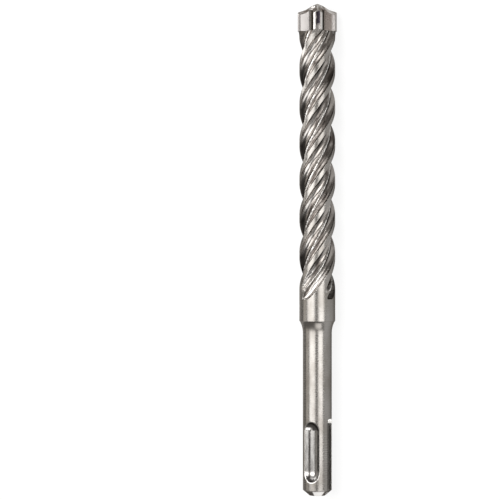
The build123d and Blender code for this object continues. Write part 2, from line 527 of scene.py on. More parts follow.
@dataclass
class SteelBody:
    """Turned, milled and ground steel bar, from the striking end up to the carbide."""

    sizes: BitSizes
    lying: Lying
    end_chamfer_width: float = 2.2
    end_chamfer_height: float = 1.85
    collar_chamfer: float = 0.2
    locking_angle: float = -28.5
    locking_tool_radius: float = 3.5
    locking_depth: float = 2.1
    locking_start: float = 7.9
    locking_travel: float = 14.4
    locking_rim: float = 0.16
    driving_angle: float = 61.5
    driving_half_width: float = 1.3
    driving_depth: float = 1.5
    driving_length: float = 25.0
    starts: int = 4
    helix_pitch: float = 51.3
    leading_end_length: float = 2.6
    climb_power: float = 1.2
    climb_limit: float = 1.6
    trailing_clearance: float = 0.3
    land_half_angle: float = 8.4
    crest_angle: float = 50.0
    crest_ratio: float = 0.79
    leading_sagitta: float = 1.05
    trailing_sagitta: float = 0.75
    shoulder_height: float = 3.5
    shoulder_ratio: float = 0.6
    shoulder_inset: float = 0.15
    braze_ledge: float = 0.3
    edge_blend: float = 0.06
    pocket_blend: float = 0.036
    crest_blend: float = 0.24
    shoulder_blend: float = 0.22
    columns_per_start: int = 108
    slot_columns: int = 56
    fan_edges: tuple[float, ...] = (0.27, 0.73)
    slot_margin: float = 0.3
    slot_overlap: float = 3.0
    regroup_lead: float = 1.0
    farthest: float = 7.5
    halvings: int = 26
    rings: Rings = Rings()
    wear: BarWearAndLight = BarWearAndLight()
    piece: bpy.types.Object = field(default=None, repr=False)

    @property
    def step_angle(self) -> float:
        """Angle from one flute to the next."""
        return 360 / self.starts

    @property
    def locking_end(self) -> float:
        """Height at which the tool of the closed grooves stops."""
        return self.locking_start + self.locking_travel

    @property
    def shoulder_foot(self) -> float:
        """Height at which the lands start to widen."""
        return self.sizes.joint_height - self.shoulder_height

    def twist(self, height: np.ndarray) -> np.ndarray:
        """Angle of the front land at a height; 0 where it meets the blade."""
        return (height - self.sizes.joint_height) * 360 / self.helix_pitch

    def channel(self, start: Span, end: Span, sagitta: float) -> tuple[float, float, float]:
        """Circle through two points of the section that dips towards the axis.

        Formula: radius = (chord squared / 4 + sagitta squared) / (2 sagitta); the centre
        stands outside the chord's middle by the radius less the sagitta.

        Args:
            start: first point, as distance from the axis and angle.
            end: last point, in the same way.
            sagitta: how far the circle dips inside the chord.

        Returns:
            Distance of the centre from the axis, its angle in degrees, and the radius.
        """
        distances, angles = np.array([start, end]).T
        turns = np.radians(angles)
        points = np.stack([distances * np.cos(turns), distances * np.sin(turns)], axis=-1)
        chord = points[1] - points[0]
        length = float(np.hypot(*chord))
        radius = (length**2 / 4 + sagitta**2) / (2 * sagitta)
        outward = np.array([chord[1], -chord[0]]) / length
        centre = points.mean(axis=0) + outward * (radius - sagitta)
        return float(np.hypot(*centre)), math.degrees(math.atan2(centre[1], centre[0])), radius

    def turned_radius(self, height: np.ndarray) -> np.ndarray:
        """Radius of the turned bar: end chamfer, shank, concave neck arc, collar, body.

        Formula: the neck is an arc of radius (run squared + rise squared) / (2 rise) that
        leaves the shank without a corner; chamfers rise evenly.

        Args:
            height: heights above the striking end.

        Returns:
            Radius at each height.
        """
        shank = self.sizes.shank_radius
        ends = [shank - self.end_chamfer_width, shank]
        chamfer = np.interp(height, [0.0, self.end_chamfer_height], ends)
        rise = self.sizes.body_radius - self.collar_chamfer - shank
        run = self.sizes.neck_length
        arc = (run**2 + rise**2) / (2 * rise)
        along = np.clip(height - self.sizes.shank_length, 0.0, run)
        neck = shank + arc - np.sqrt(arc**2 - along**2)
        edge = np.clip(height - self.sizes.neck_height, 0.0, self.collar_chamfer)
        return np.where(height < self.sizes.shank_length, chamfer, neck + edge)

    def climbs(self, height: np.ndarray) -> tuple[np.ndarray, np.ndarray]:
        """Share by which each channel has climbed out of the bar over the run-out.

        Formula: the leading channel climbs by a power of the way gone, and the trailing
        one along a quarter circle, and on past its end, where it is clear of the bar.

        Args:
            height: heights above the striking end.

        Returns:
            Shares of the leading and of the trailing channel.
        """
        sizes = self.sizes
        leading_end = sizes.runout_end + self.leading_end_length
        slope = (sizes.runout_top - height) / (sizes.runout_top - leading_end)
        curve = np.clip((sizes.trailing_lift - height) / sizes.trailing_end_length, 0.0, 1.0)
        past = np.clip(sizes.runout_end - height, 0.0, self.trailing_clearance)
        leading = np.clip(slope, 0.0, self.climb_limit) ** self.climb_power
        return leading, 1 - np.sqrt(1 - curve**2) + past

    def cutters(self, points: Points) -> Cuts:
        """Signed distances of the bar and its cutters.

        Formula: the bar is the distance from the axis less the turned radius. A flute
        channel is its circle's radius less the distance from its centre, in a frame that
        turns with the flutes. A closed groove is the ball's radius less the distance from
        the ball's path. An open groove is the lesser depth inside its walls and its floor.

        Args:
            points: where the distances are taken.

        Returns:
            The distances.
        """
        sizes, height = self.sizes, points.height
        radius = points.radius
        in_flutes = points.turned(np.radians(self.twist(height)))
        angle = np.arctan2(in_flutes.aside, in_flutes.across)
        angle = np.mod(angle, math.radians(self.step_angle))
        crest = (self.crest_ratio * sizes.body_radius, self.crest_angle)
        land_edge = (sizes.body_radius, self.land_half_angle)
        next_land_edge = (sizes.body_radius, self.step_angle - self.land_half_angle)
        circles = [
            self.channel(land_edge, crest, self.leading_sagitta),
            self.channel(crest, next_land_edge, self.trailing_sagitta),
        ]
        channels = []
        for (out, aim, cutter), climb in zip(circles, self.climbs(height)):
            centre = out + (sizes.body_radius - out + cutter) * climb
            apart = angle - math.radians(aim)
            square = radius**2 + centre**2 - 2 * radius * centre * np.cos(apart)
            channels.append(cutter - np.sqrt(np.maximum(square, 0.0)))

        lock = points.turned(math.radians(self.locking_angle))
        offset = sizes.shank_radius - self.locking_depth + self.locking_tool_radius
        beyond = np.maximum(np.maximum(height - self.locking_end, self.locking_start - height), 0.0)
        gap = np.sqrt((np.abs(lock.across) - offset) ** 2 + lock.aside**2 + beyond**2)

        drive = points.turned(math.radians(self.driving_angle))
        floor = sizes.shank_radius - self.driving_depth
        slope = np.maximum(height - self.driving_length, 0.0)
        depth = np.abs(drive.across) - floor - slope
        return Cuts(
            bar=radius - self.turned_radius(height),
            leading=channels[0],
            trailing=channels[1],
            locking=self.locking_tool_radius - gap,
            driving=np.minimum(self.driving_half_width - np.abs(drive.aside), depth),
        )

    def shoulders(self, points: Points) -> np.ndarray:
        """Signed distance of the shoulders that widen the lands to the blades' thickness.

        Formula: two crossed rectangles whose half sides grow evenly from the foot to the
        joint while their corners move straight from the turned place to the square one,
        which shortens them by the chord on the way; inside is below 0.

        Args:
            points: where the distances are taken.

        Returns:
            Distances, and a large one below the foot.
        """
        sizes = self.sizes
        share = (points.height - self.shoulder_foot) / self.shoulder_height
        back = math.radians(self.twist(self.shoulder_foot))
        way_x = (1 - share) * math.cos(back) + share
        way_y = (1 - share) * math.sin(back)
        chord = np.hypot(way_x, way_y)
        low_long = sizes.body_radius - self.shoulder_inset
        high_long = sizes.head_radius - self.braze_ledge
        high_thin = sizes.blade_half_thickness
        low_thin = high_thin * self.shoulder_ratio
        long_half = chord * (low_long + (high_long - low_long) * share)
        thin_half = chord * (low_thin + (high_thin - low_thin) * share)
        square = points.turned(np.arctan2(way_y, way_x))
        flat_x, flat_y = np.abs(square.across), np.abs(square.aside)
        one = np.maximum(flat_x - long_half, flat_y - thin_half)
        two = np.maximum(flat_y - long_half, flat_x - thin_half)
        return np.where(share < 0, FAR_OFF, np.minimum(one, two))

    def distance(self, points: Points) -> np.ndarray:
        """Signed distance of the finished bar with its softened edges; inside is below 0.

        Formula: the largest of the bar and its cutters, rounded where they meet, and of
        the closed grooves' rims, which are chamfered at 45 degrees. The shoulders are
        added with a fillet that stays within the bar.

        Args:
            points: where the distances are taken.

        Returns:
            The distances.
        """
        cuts = self.cutters(points)
        flute = soft_max(cuts.leading, cuts.trailing, self.crest_blend)
        rim = (cuts.locking + cuts.bar) * math.sqrt(0.5) + self.locking_rim
        steel = soft_max(cuts.bar, flute, self.edge_blend)
        steel = np.maximum(soft_max(steel, cuts.pocket, self.pocket_blend), rim)
        shoulder = self.shoulders(points)
        widened = soft_min(steel, shoulder, self.shoulder_blend)
        return np.maximum(widened, np.minimum(cuts.bar, shoulder))

    def rows(self) -> np.ndarray:
        """Heights of the rings, close together where the section changes fast.

        Formula: even steps over the neck, the run-outs, the flutes and the shoulders, a
        sine of even steps over round ends, and set distances from the turned edges.

        Returns:
            Rising heights.
        """
        sizes, rings = self.sizes, self.rings
        tool, quarter = self.locking_tool_radius, math.pi / 2
        foot_steps = np.linspace(1 - rings.end_share, 1, rings.locking_foot) * quarter
        head_steps = np.linspace(0, rings.end_share, rings.locking_head) * quarter
        trailing_steps = np.linspace(0, 1, rings.trailing_end) * quarter
        joint = sizes.joint_height - rings.below_joint
        spans = [
            np.array(rings.from_end),
            self.locking_start - tool * np.cos(foot_steps),
            self.locking_start + np.array(rings.past_locking_start),
            self.locking_end + tool * np.sin(head_steps),
            self.driving_length + np.array(rings.past_driving_length),
            sizes.shank_length - np.array(rings.before_shank_end),
            np.linspace(sizes.shank_length - rings.before_neck, sizes.neck_height, rings.neck),
            sizes.neck_height + np.array(rings.past_neck),
            sizes.runout_end - np.array(rings.before_runouts),
            sizes.trailing_lift - sizes.trailing_end_length * np.sin(trailing_steps),
            np.linspace(sizes.trailing_lift, sizes.runout_top, rings.runout),
            np.linspace(sizes.runout_top, self.shoulder_foot, rings.flutes),
            np.linspace(self.shoulder_foot, joint, rings.shoulder),
        ]
        return np.unique(np.round(np.concatenate(spans), rings.decimals))

    def shank_angles(self, radius: np.ndarray, slot: np.ndarray, wide: float) -> np.ndarray:
        """Angles at which the shank's columns meet the bar.

        Formula: a column across an open groove stands at the arcsine of its offset over
        the radius; the others fan out between the grooves and gather at the closed ones.

        Args:
            radius: turned radius of each row, of shape (rows, 1).
            slot: offsets of the columns across an open groove.
            wide: offset at which the fan starts.

        Returns:
            Angles in degrees, of shape (rows, columns).
        """
        steepest = 0.98
        fan_count = 2 * self.columns_per_start - self.slot_columns
        fan = bunched(fan_count, WHOLE, self.fan_edges, width=0.03, gain=2.5)
        bound = np.degrees(np.arcsin(np.minimum(wide / radius, steepest)))
        slot_angle = np.degrees(np.arcsin(np.clip(slot / radius, -steepest, steepest)))
        one_side = np.concatenate([slot_angle, bound + (180 - 2 * bound) * fan], axis=1)
        return np.concatenate([one_side, one_side + 180], axis=1) + self.driving_angle

    def flute_angles(self, height: np.ndarray) -> np.ndarray:
        """Angles of the flutes' columns, which gather at the land edges and turn with them.

        Args:
            height: height of each row.

        Returns:
            Angles in degrees, of shape (rows, columns).
        """
        step = self.step_angle
        land = self.land_half_angle
        edges = (0.0, land, self.crest_angle, step - land, step)
        sector = bunched(self.columns_per_start, (0.0, step), edges, width=1.1, gain=2.2)
        flutes = np.concatenate([sector + step * start for start in range(self.starts)])
        return flutes + self.twist(np.maximum(height, self.sizes.neck_height))[:, None]

    def rays(self, height: np.ndarray) -> tuple[np.ndarray, np.ndarray]:
        """Start and direction of the ray on which each grid point lies.

        Formula: on the shank the rays are parallel across the two open grooves and fan
        out between them; above it they all leave the axis, and their angles pass from
        the shank's spacing to the flutes'.

        Args:
            height: height of each row.

        Returns:
            Starts of shape (rows, columns, 2), and unit directions of the same shape.
        """
        sizes, half = self.sizes, 2 * self.columns_per_start
        edge = self.driving_half_width
        wide = edge + self.slot_margin
        slot = bunched(self.slot_columns, (-wide, wide), (-edge, edge), width=0.08, gain=14.0)
        shank = self.shank_angles(self.turned_radius(height)[:, None], slot, wide)
        flutes = self.flute_angles(height)
        step = self.step_angle
        lag = np.round((shank.mean() - flutes[height < sizes.neck_height].mean()) / step) * step
        regroup = (
            sizes.shank_length - self.regroup_lead,
            sizes.runout_end - self.regroup_lead,
        )
        share = ease(height, regroup)[:, None]
        angle = np.radians(shank * (1 - share) + (flutes + lag) * share)

        drive = math.radians(self.driving_angle)
        in_slot = np.tile(np.arange(half) < self.slot_columns, 2)
        straight = (height < self.driving_length + self.slot_overlap)[:, None] & in_slot
        side = np.repeat([1.0, -1.0], half)
        offset = np.tile(np.pad(slot, (0, half - self.slot_columns)), 2) * side
        start_across = np.where(straight, -offset * math.sin(drive), 0.0)
        start_aside = np.where(straight, offset * math.cos(drive), 0.0)
        way_across = np.where(straight, side * math.cos(drive), np.cos(angle))
        way_aside = np.where(straight, side * math.sin(drive), np.sin(angle))
        starts = np.stack([start_across, start_aside], axis=-1)
        return starts, np.stack([way_across, way_aside], axis=-1)

    def skin(self) -> Points:
        """Slide every grid point out along its ray to where the distance is nought.

        Returns:
            The points between the striking end and the joint.
        """
        rows = self.rows()
        start, way = self.rays(rows)
        height = np.repeat(rows[:, None], start.shape[1], axis=1)

        def spots(out: np.ndarray) -> Points:
            """Points this far out along their rays."""
            across, aside = np.moveaxis(start + way * out[..., None], -1, 0)
            return Points(across, aside, height)

        def outside(out: np.ndarray) -> np.ndarray:
            """Tell which points this far out along their rays lie outside the steel."""
            return self.distance(spots(out)) > 0

        return spots(reach(outside, height.shape, self.farthest, self.halvings))

    def normals(self, skin: Points) -> np.ndarray:
        """World normals as the steepest rise of the distance, by differences.

        Args:
            skin: points on the surface.

        Returns:
            Unit vectors, of shape (rows, columns, 3).
        """
        step, least = 0.01, 1e-9
        total = np.zeros((*skin.height.shape, 3))
        for shift, direction in zip(np.eye(3) * step, (self.lying.front, self.lying.right, ALONG)):
            rise = self.distance(skin.moved(*shift)) - self.distance(skin.moved(*-shift))
            total = total + rise[..., None] * direction
        return total / np.maximum(np.linalg.norm(total, axis=-1, keepdims=True), least)

    def closed(self, values: np.ndarray, foot: float = 0.0, top: float = 0.0) -> np.ndarray:
        """Add the rows of the flat ends to an array, filled with one value at each end."""
        low = np.full((len(self.rings.foot_scale), *values.shape[1:]), foot)
        high = np.full((len(self.rings.top_scale), *values.shape[1:]), top)
        return np.concatenate([low, values, high])

    def shrunk(self, values: np.ndarray) -> np.ndarray:
        """Add the rows of the flat ends to coordinates, drawn in towards the axis."""
        low = values[:1] * np.array(self.rings.foot_scale)[:, None]
        high = values[-1:] * np.array(self.rings.top_scale)[:, None]
        return np.concatenate([low, values, high])

    def edge_marks(
        self, cuts: Cuts, shoulder: np.ndarray, whole: Points
    ) -> dict[str, np.ndarray]:
        """Bright edges: worn corners, and the crest between the channels of a flute, partly a painted
        highlight.

        Args:
            cuts: distances of the bar and its cutters between the flat ends.
            shoulder: distances of the shoulders there.
            whole: points of the whole skin.

        Returns:
            The marks `crest` and `edge_wear`.
        """
        wear = self.wear
        # The crest's brightness is partly worn chatter and partly a painted highlight along the ridge
        crest = bell(cuts.leading, cuts.trailing, wear.crest_width)
        crest = crest * (cuts.channel > -wear.crest_reach)
        inside = -np.minimum(cuts.sharp, shoulder)
        edges = np.clip(inside / (self.edge_blend * wear.edge_share), 0.0, 1.0) * (1 - crest)
        locking = self.closed(cuts.locking, -FAR_OFF, -FAR_OFF)
        rise = (self.locking_start, self.locking_start + wear.rim_fade)
        fall = (self.locking_end, self.locking_end + wear.rim_fade)
        straight = band(whole.height, rise, fall) * (locking > -wear.rim_reach)
        return {
            "crest": self.closed(crest),
            "edge_wear": self.closed(edges) * (1 - wear.rim_share * straight),
        }

    def shank_marks(self, cuts: Cuts, whole: Points) -> dict[str, np.ndarray]:
        """Painted light and shade of the striking end's chamfer, and bright places of the grooves.

        Args:
            cuts: distances of the bar and its cutters between the flat ends.
            whole: points of the whole skin.

        Returns:
            The marks `chamfer`, `chamfer_shade`, `driving`, `glint` and `gleam`.
        """
        wear, height = self.wear, whole.height
        chamfer = (height > wear.chamfer_foot) * (1 - ease(height, wear.chamfer_head))
        # Painted highlight on the chamfer over a band of bearings about the front blade; painted
        # shade on the rest of its ring
        chamfer_highlight = band(whole.bearing, wear.chamfer_rise, wear.chamfer_fall)
        driving = self.closed(cuts.driving, top=-FAR_OFF) > -wear.groove_reach
        driving = driving * (height < self.driving_length + wear.driving_over)
        # Painted highlight at the top of the open groove's slope, where its floor rises out
        slope = (self.driving_length - wear.glint_fade, self.driving_length + wear.glint_fade)
        locking = self.closed(cuts.locking, -FAR_OFF, -FAR_OFF) > -wear.groove_reach
        lean = np.mod(whole.bearing - self.locking_angle + 90, 180) - 90
        # Painted highlights at the head and the foot of the closed grooves, fading with the lean from
        # their middle
        head = bell(height, self.locking_end + wear.head_gleam_lift, wear.gleam_width)
        foot = bell(height, self.locking_start + wear.foot_gleam_lift, wear.gleam_width)
        gleam = head * (1 - ease(lean, wear.head_gleam_lean))
        gleam = gleam + wear.foot_gleam * foot * (1 - ease(lean, wear.foot_gleam_lean))
        return {
            "chamfer": chamfer * chamfer_highlight,
            "chamfer_shade": chamfer * (1 - chamfer_highlight),
            "driving": driving * ease(whole.radius, wear.driving_wall),
            "glint": driving * ease(height, slope),
            "gleam": gleam * locking,
        }

    def flute_marks(self, whole: Points) -> dict[str, np.ndarray]:
        """Painted shade in the run-outs, and painted light and shade inside the flutes.

        Args:
            whole: points of the whole skin.

        Returns:
            The marks `depth`, `runout`, `shadowed`, `lit_runout`, `under`, `wall`, `gloom` and
            `core`.
        """
        wear, sizes, height = self.wear, self.sizes, whole.height
        above = self.lying.above(whole)
        sweep = np.mod(whole.bearing - self.twist(height), self.step_angle)
        leading = sweep < self.crest_angle
        top_fade = (sizes.trailing_lift + wear.runout_fade[0], sizes.runout_top + wear.runout_fade[1])
        runout = 1 - ease(height, top_fade)
        low_side = 1 - ease(above, wear.low_side)
        top_side = ease(above, wear.top_side)
        # Painted shade in the run-out hollows, darker on the ground side; the leading hollows keep
        # some of it all round
        shaded_runout = wear.leading_shade + (1 - wear.leading_shade) * low_side
        # Painted shade on the leading channels' steep walls on the lower side, below the shoulders
        free = (self.shoulder_foot + wear.gloom_top[0], self.shoulder_foot + wear.gloom_top[1])
        corner = band(sweep, wear.gloom_rise, wear.gloom_fall) * (1 - top_side)
        depth = (self.turned_radius(height) - whole.radius) / wear.channel_depth
        return {
            "depth": np.clip(depth, 0.0, 1.0),
            "runout": runout * np.where(leading, shaded_runout, low_side),
            "shadowed": runout * low_side,
            # Painted sheen on the trailing run-outs on the top side
            "lit_runout": runout * np.where(leading, 0.0, 1 - low_side),
            # Painted shade on the lower side of the lying bar
            "under": 1 - ease(above, wear.under),
            # Painted light on the leading channels' steep walls on the top side
            "wall": band(sweep, wear.wall_rise, wear.wall_fall) * top_side,
            "gloom": corner * (1 - ease(height, free)),
            # Painted shade in the trailing channels, past the crest
            "core": band(sweep, wear.core_rise, wear.core_fall),
        }

    def shoulder_marks(self, shoulder: np.ndarray, whole: Points) -> dict[str, np.ndarray]:
        """Flanks of the shoulders, with painted light on those on the right.

        Args:
            shoulder: distances of the shoulders between the flat ends.
            whole: points of the whole skin.

        Returns:
            The marks `flank` and `lit_flank`.
        """
        wear, rim = self.wear, self.sizes.body_radius
        on_shoulder = self.closed(shoulder, FAR_OFF, FAR_OFF) < wear.flank_reach
        flank = on_shoulder * (1 - ease(whole.radius, (rim - wear.flank_fade, rim)))
        return {"flank": flank, "lit_flank": flank * (whole.aside > 0)}

    def unwound(self, whole: Points) -> np.ndarray:
        """Places turned back with the flutes, so that a pattern on them follows the flutes.

        Args:
            whole: points of the whole skin.

        Returns:
            Places in metres, of shape (rows, columns, 3).
        """
        flat = whole.turned(np.radians(self.twist(whole.height)))
        return np.stack([flat.across, flat.aside, flat.height], axis=-1) * METRE

    def zones(self, cuts: Cuts, shoulder: np.ndarray, skin: Points) -> np.ndarray:
        """Finish of each face: the last zone in the list that any of its corners has.

        Args:
            cuts: distances of the bar and its cutters between the flat ends.
            shoulder: distances of the shoulders there.
            skin: points between the flat ends.

        Returns:
            Values of `Zone` in the order of the faces.
        """
        ground, flute = Zone.GROUND.value, Zone.FLUTE.value
        channel = soft_max(cuts.leading, cuts.trailing, self.crest_blend)
        zone = np.argmax(np.stack([cuts.bar, channel, cuts.pocket]), axis=0)
        inside = skin.radius < self.sizes.body_radius - self.edge_blend
        zone = np.where(shoulder < cuts.sharp, np.where(inside, flute, ground), zone)
        zone = self.closed(zone, ground, flute)
        pair = np.maximum(zone, np.roll(zone, -1, axis=1))
        rows = np.maximum(pair[:-1], pair[1:])
        fans = np.repeat([ground, flute], zone.shape[1])
        return np.concatenate([rows.ravel(), fans]).astype(np.int32)

    def build(self) -> None:
        """Make the mesh: the skin, closed by a flat striking end and a flat joint face."""
        skin = self.skin()
        cuts, shoulder = self.cutters(skin), self.shoulders(skin)
        height = self.closed(skin.height, 0.0, self.sizes.joint_height)
        whole = Points(self.shrunk(skin.across), self.shrunk(skin.aside), height)
        self.piece = closed_tube("steel_body_skin", self.lying.place(whole))
        faces = self.piece.data.polygons
        faces.foreach_set("material_index", self.zones(cuts, shoulder, skin))
        normals = self.closed(self.normals(skin))
        shade(self.piece, normals)
        marks = {
            **self.edge_marks(cuts, shoulder, whole),
            **self.shank_marks(cuts, whole),
            **self.flute_marks(whole),
            **self.shoulder_marks(shoulder, whole),
            "unwound": self.unwound(whole),
            # Painted shade on faces turned to the floor
            "down": ease(-normals[..., 2], self.wear.down),
        }
        for name, values in marks.items():
            mark(self.piece, name, values)

    def dress(self) -> None:
        """Give the finishes, hide the CAD part that the skin stands in for, and hang the skin on the
        body.
        """
        finishes = {
            Zone.GROUND: GroundSteel(),
            Zone.FLUTE: FluteSteel(),
            Zone.POCKET: PocketSteel(),
        }
        for zone in Zone:
            self.piece.data.materials.append(finishes[zone].material())
        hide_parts("steel_body")
        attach(self.piece, BODY)


@dataclass(frozen=True)
class HeadWearAndLight:
    """Where the marks of the carbide, its painted reflection and painted shade among them, begin and
    end.

    A span is the stretch over which a mark eases in or out: from the blades' ends for the
    end, the dim side and the tint, from the chamfers for the bevel and the window's fall,
    from the roots for the window's rise, from the roof's edge for its top, and from the
    joint for the scorch's rise. A tuple of four holds the share of a mark on each blade,
    from the front one on, and a width is that of a bell.
    """

    end: Span = (-0.10, -0.03)
    bevel: Span = (-0.09, -0.03)
    bright_bevels: tuple[float, ...] = (1.0, 0.4, 1.0, 0.0)
    stained_bevels: tuple[float, ...] = (0.0, 0.0, 0.0, 1.0)
    # Span of the painted shade at the blades' roots
    root: Span = (0.5, 1.55)
    # Spans of the painted reflection on the flanks, and of its dimmer side
    window_rise: Span = (0.0, 0.5)
    window_fall: Span = (-0.28, -0.16)
    window_top: Span = (0.1, 0.22)
    dim_side: Span = (-2.1, -1.2)
    dim_share: float = 0.6
    tint_fall: Span = (-2.4, -0.9)
    tint_share: float = 0.75
    scorch_width: Span = (0.55, 0.8)
    scorch_rise: Span = (1.0, 2.6)
    seam_width: float = 0.13
    top_seam_width: float = 0.16
    ridge_width: float = 0.28
    rim_width: float = 0.2
    point: Span = (1.3, 2.3)


@dataclass
class CarbideHead:
    """Cross of four blades under sloping ridges, with a raised point in the middle."""

    sizes: BitSizes
    lying: Lying
    blades: int = 4
    blade_chamfer: float = 0.7
    root_fillet: float = 1.1
    knee_radius: float = 4.0
    point_radius: float = 2.2
    point_base_radius: float = 2.7
    point_flat: float = 0.5
    point_wall: float = 0.08
    point_depth: float = 0.2
    relief_height: float = 1.15
    ridge_half_flat: float = 0.15
    edge_blend: float = 0.03
    edge_round: float = 0.05
    hard_edge: float = 24.0
    columns_per_blade: int = 116
    gathered: tuple[float, ...] = (-13.5, -8.0, -1.4, 1.4, 8.0, 13.5)
    foot_scale: tuple[float, ...] = (0.4, 0.8, 0.99)
    wall_foot: tuple[float, ...] = (0.0, 0.01, 0.03)
    wall_middle: Span = (0.1, 0.92)
    wall_rows: int = 12
    wall_top: float = 0.97
    round_in: tuple[float, ...] = (0.0, 0.006, 0.02, 0.05)
    round_down: tuple[float, ...] = (0.03, 0.012, 0.004, 0.0)
    roof_rows: int = 63
    roof_span: float = 0.97
    farthest: float = 8.0
    halvings: int = 30
    wear: HeadWearAndLight = HeadWearAndLight()
    piece: bpy.types.Object = field(default=None, repr=False)

    @property
    def bevel_sum(self) -> float:
        """Sum of both distances from the blades' middle planes on a chamfered corner."""
        return self.sizes.head_radius + self.sizes.blade_half_thickness - self.blade_chamfer

    def outline(self, across: np.ndarray, aside: np.ndarray) -> np.ndarray:
        """Signed distance of the cross: filleted roots, chamfered corners, round ends.

        Formula: the fillet is a quarter circle between the two blades' flanks; the rest
        is the largest of the circle, the chamfers and that cross, softly rounded.

        Args:
            across: distance from the axis towards the front blade.
            aside: distance from the axis towards the next blade.

        Returns:
            Distances; inside is below 0.
        """
        half, fillet = self.sizes.blade_half_thickness, self.root_fillet
        one, two = np.abs(aside) - half, np.abs(across) - half
        near = np.hypot(np.maximum(fillet - one, 0.0), np.maximum(fillet - two, 0.0))
        cross = np.maximum(fillet, np.minimum(one, two)) - near
        ring = np.hypot(across, aside) - self.sizes.head_radius
        bevel = (np.abs(across) + np.abs(aside) - self.bevel_sum) * math.sqrt(0.5)
        return soft_max(soft_max(cross, ring, self.edge_blend), bevel, self.edge_blend)

    def roof(self, across: np.ndarray, aside: np.ndarray) -> np.ndarray:
        """Height of the roof: the highest of two crossed gables and the raised point.

        Formula: a gable is its ridge line over the distance from the axis, less an even
        slope beside the ridge's flat; the point is a cone with a steep wall round it.

        Args:
            across: distance from the axis towards the front blade.
            aside: distance from the axis towards the next blade.

        Returns:
            Heights above the striking end.
        """
        sizes, flat = self.sizes, self.ridge_half_flat
        top, cone, knee = sizes.tip_height, sizes.point_height, sizes.knee_height
        ridge_radii = [0.0, self.point_radius, self.knee_radius, sizes.head_radius]
        ridge_heights = [top, cone, knee, sizes.ridge_end_height]
        base = self.point_base_radius
        point_radii = [self.point_flat / 2, self.point_radius, base, base + self.point_wall]
        low = sizes.joint_height - self.point_depth
        point_heights = [top, cone, sizes.ridge_end_height, low]
        slope = self.relief_height / (sizes.blade_half_thickness - flat)
        out, over = np.abs(across), np.abs(aside)
        one = np.interp(out, ridge_radii, ridge_heights) - slope * np.maximum(over - flat, 0.0)
        two = np.interp(over, ridge_radii, ridge_heights) - slope * np.maximum(out - flat, 0.0)
        point = np.interp(np.hypot(across, aside), point_radii, point_heights)
        return soft_max(soft_max(one, two, self.edge_blend), point, self.edge_blend)

    def build(self) -> None:
        """Make the mesh: flat foot, upright flanks, a softened edge and the roof."""
        joint, quarter = self.sizes.joint_height, 360 / self.blades
        span = (-quarter / 2, quarter / 2)
        sector = bunched(self.columns_per_blade, span, self.gathered, width=1.0, gain=2.0)
        blades = np.arange(self.blades)[:, None] * quarter
        angle = np.radians((sector + blades).ravel())
        way_x, way_y = np.cos(angle), np.sin(angle)

        def outside(out: np.ndarray) -> np.ndarray:
            """Tell which points this far out along their rays lie outside the cross."""
            return self.outline(way_x * out, way_y * out) > 0

        edge = reach(outside, angle.shape, self.farthest, self.halvings)
        inner = edge - self.edge_round
        rim = self.roof(way_x * inner, way_y * inner)
        foot = np.array(self.foot_scale)[:, None]
        middle = np.linspace(*self.wall_middle, self.wall_rows)
        wall = np.concatenate([self.wall_foot, middle, [self.wall_top]])[:, None]
        roof = 1 - np.linspace(0.0, self.roof_span, self.roof_rows + 1)[1:, None]
        rounding = np.array(self.round_in)[:, None]
        upright = np.repeat(edge[None], len(wall), axis=0)
        radii = np.concatenate([edge * foot, upright, edge - rounding, inner * roof])
        across, aside = radii * way_x, radii * way_y
        heights = np.concatenate(
            [
                np.full((len(foot), len(angle)), joint),
                joint + (rim - self.edge_round - joint) * wall,
                rim - np.array(self.round_down)[:, None],
                self.roof(across[-self.roof_rows :], aside[-self.roof_rows :]),
            ]
        )
        points = Points(across, aside, heights)
        self.piece = closed_tube("carbide_head_skin", self.lying.place(points))
        self.piece.data.set_sharp_from_angle(angle=math.radians(self.hard_edge))
        above_wall = np.arange(len(radii)) >= len(foot) + len(wall)
        on_roof = np.repeat(above_wall[:, None], len(angle), axis=1).astype(float)
        turning = np.tile(sector > 0, self.blades)
        for name, values in self.marks(points, rim, on_roof, turning).items():
            mark(self.piece, name, values)

    def marks(
        self, points: Points, rim: np.ndarray, on_roof: np.ndarray, turning: np.ndarray
    ) -> dict[str, np.ndarray]:
        """Bright, tinted and scorched places of the carbide, a painted reflection on the satin
        flanks, and painted shade at the roots.

        Args:
            points: points of the skin.
            rim: height of the roof's edge in each column.
            on_roof: 1 on the rows of the roof and 0 on those of the flanks.
            turning: columns on the flank that is turned towards the next blade.

        Returns:
            Marks by the names that the finish reads.
        """
        wear, head = self.wear, self.sizes.head_radius
        flanks, radius, heights = 1 - on_roof, points.radius, points.height
        out = np.maximum(np.abs(points.across), np.abs(points.aside))
        over = np.minimum(np.abs(points.across), np.abs(points.aside))
        root_end = self.sizes.blade_half_thickness + self.root_fillet
        window_end = head - self.blade_chamfer
        end = ease(radius - head, wear.end)
        bevel = ease(out + over - self.bevel_sum, wear.bevel) * (1 - end)
        # Painted reflection of a lamp: a window on the flanks between roots and chamfers, under the
        # roof's edge
        window = ease(out - root_end, wear.window_rise)
        window = window * (1 - ease(out - window_end, wear.window_fall))
        window = window * ease(rim - heights, wear.window_top)
        # The painted reflection is full on the turned flanks and dimmer near the ends of the others
        lit = np.where(turning, 1.0, wear.dim_share * ease(out - head, wear.dim_side))
        fade = 1 - wear.tint_share * ease(out - head, wear.tint_fall)
        scorch = end * (1 - ease(over, wear.scorch_width))
        scorch = scorch * ease(heights - self.sizes.joint_height, wear.scorch_rise)
        seam = bell(out, window_end, wear.seam_width) * (1 - end)
        seam = seam + bell(heights - rim, 0.0, wear.top_seam_width)
        ridge = bell(over, 0.0, wear.ridge_width) + bell(radius, head, wear.rim_width)
        per_blade = len(turning) // self.blades
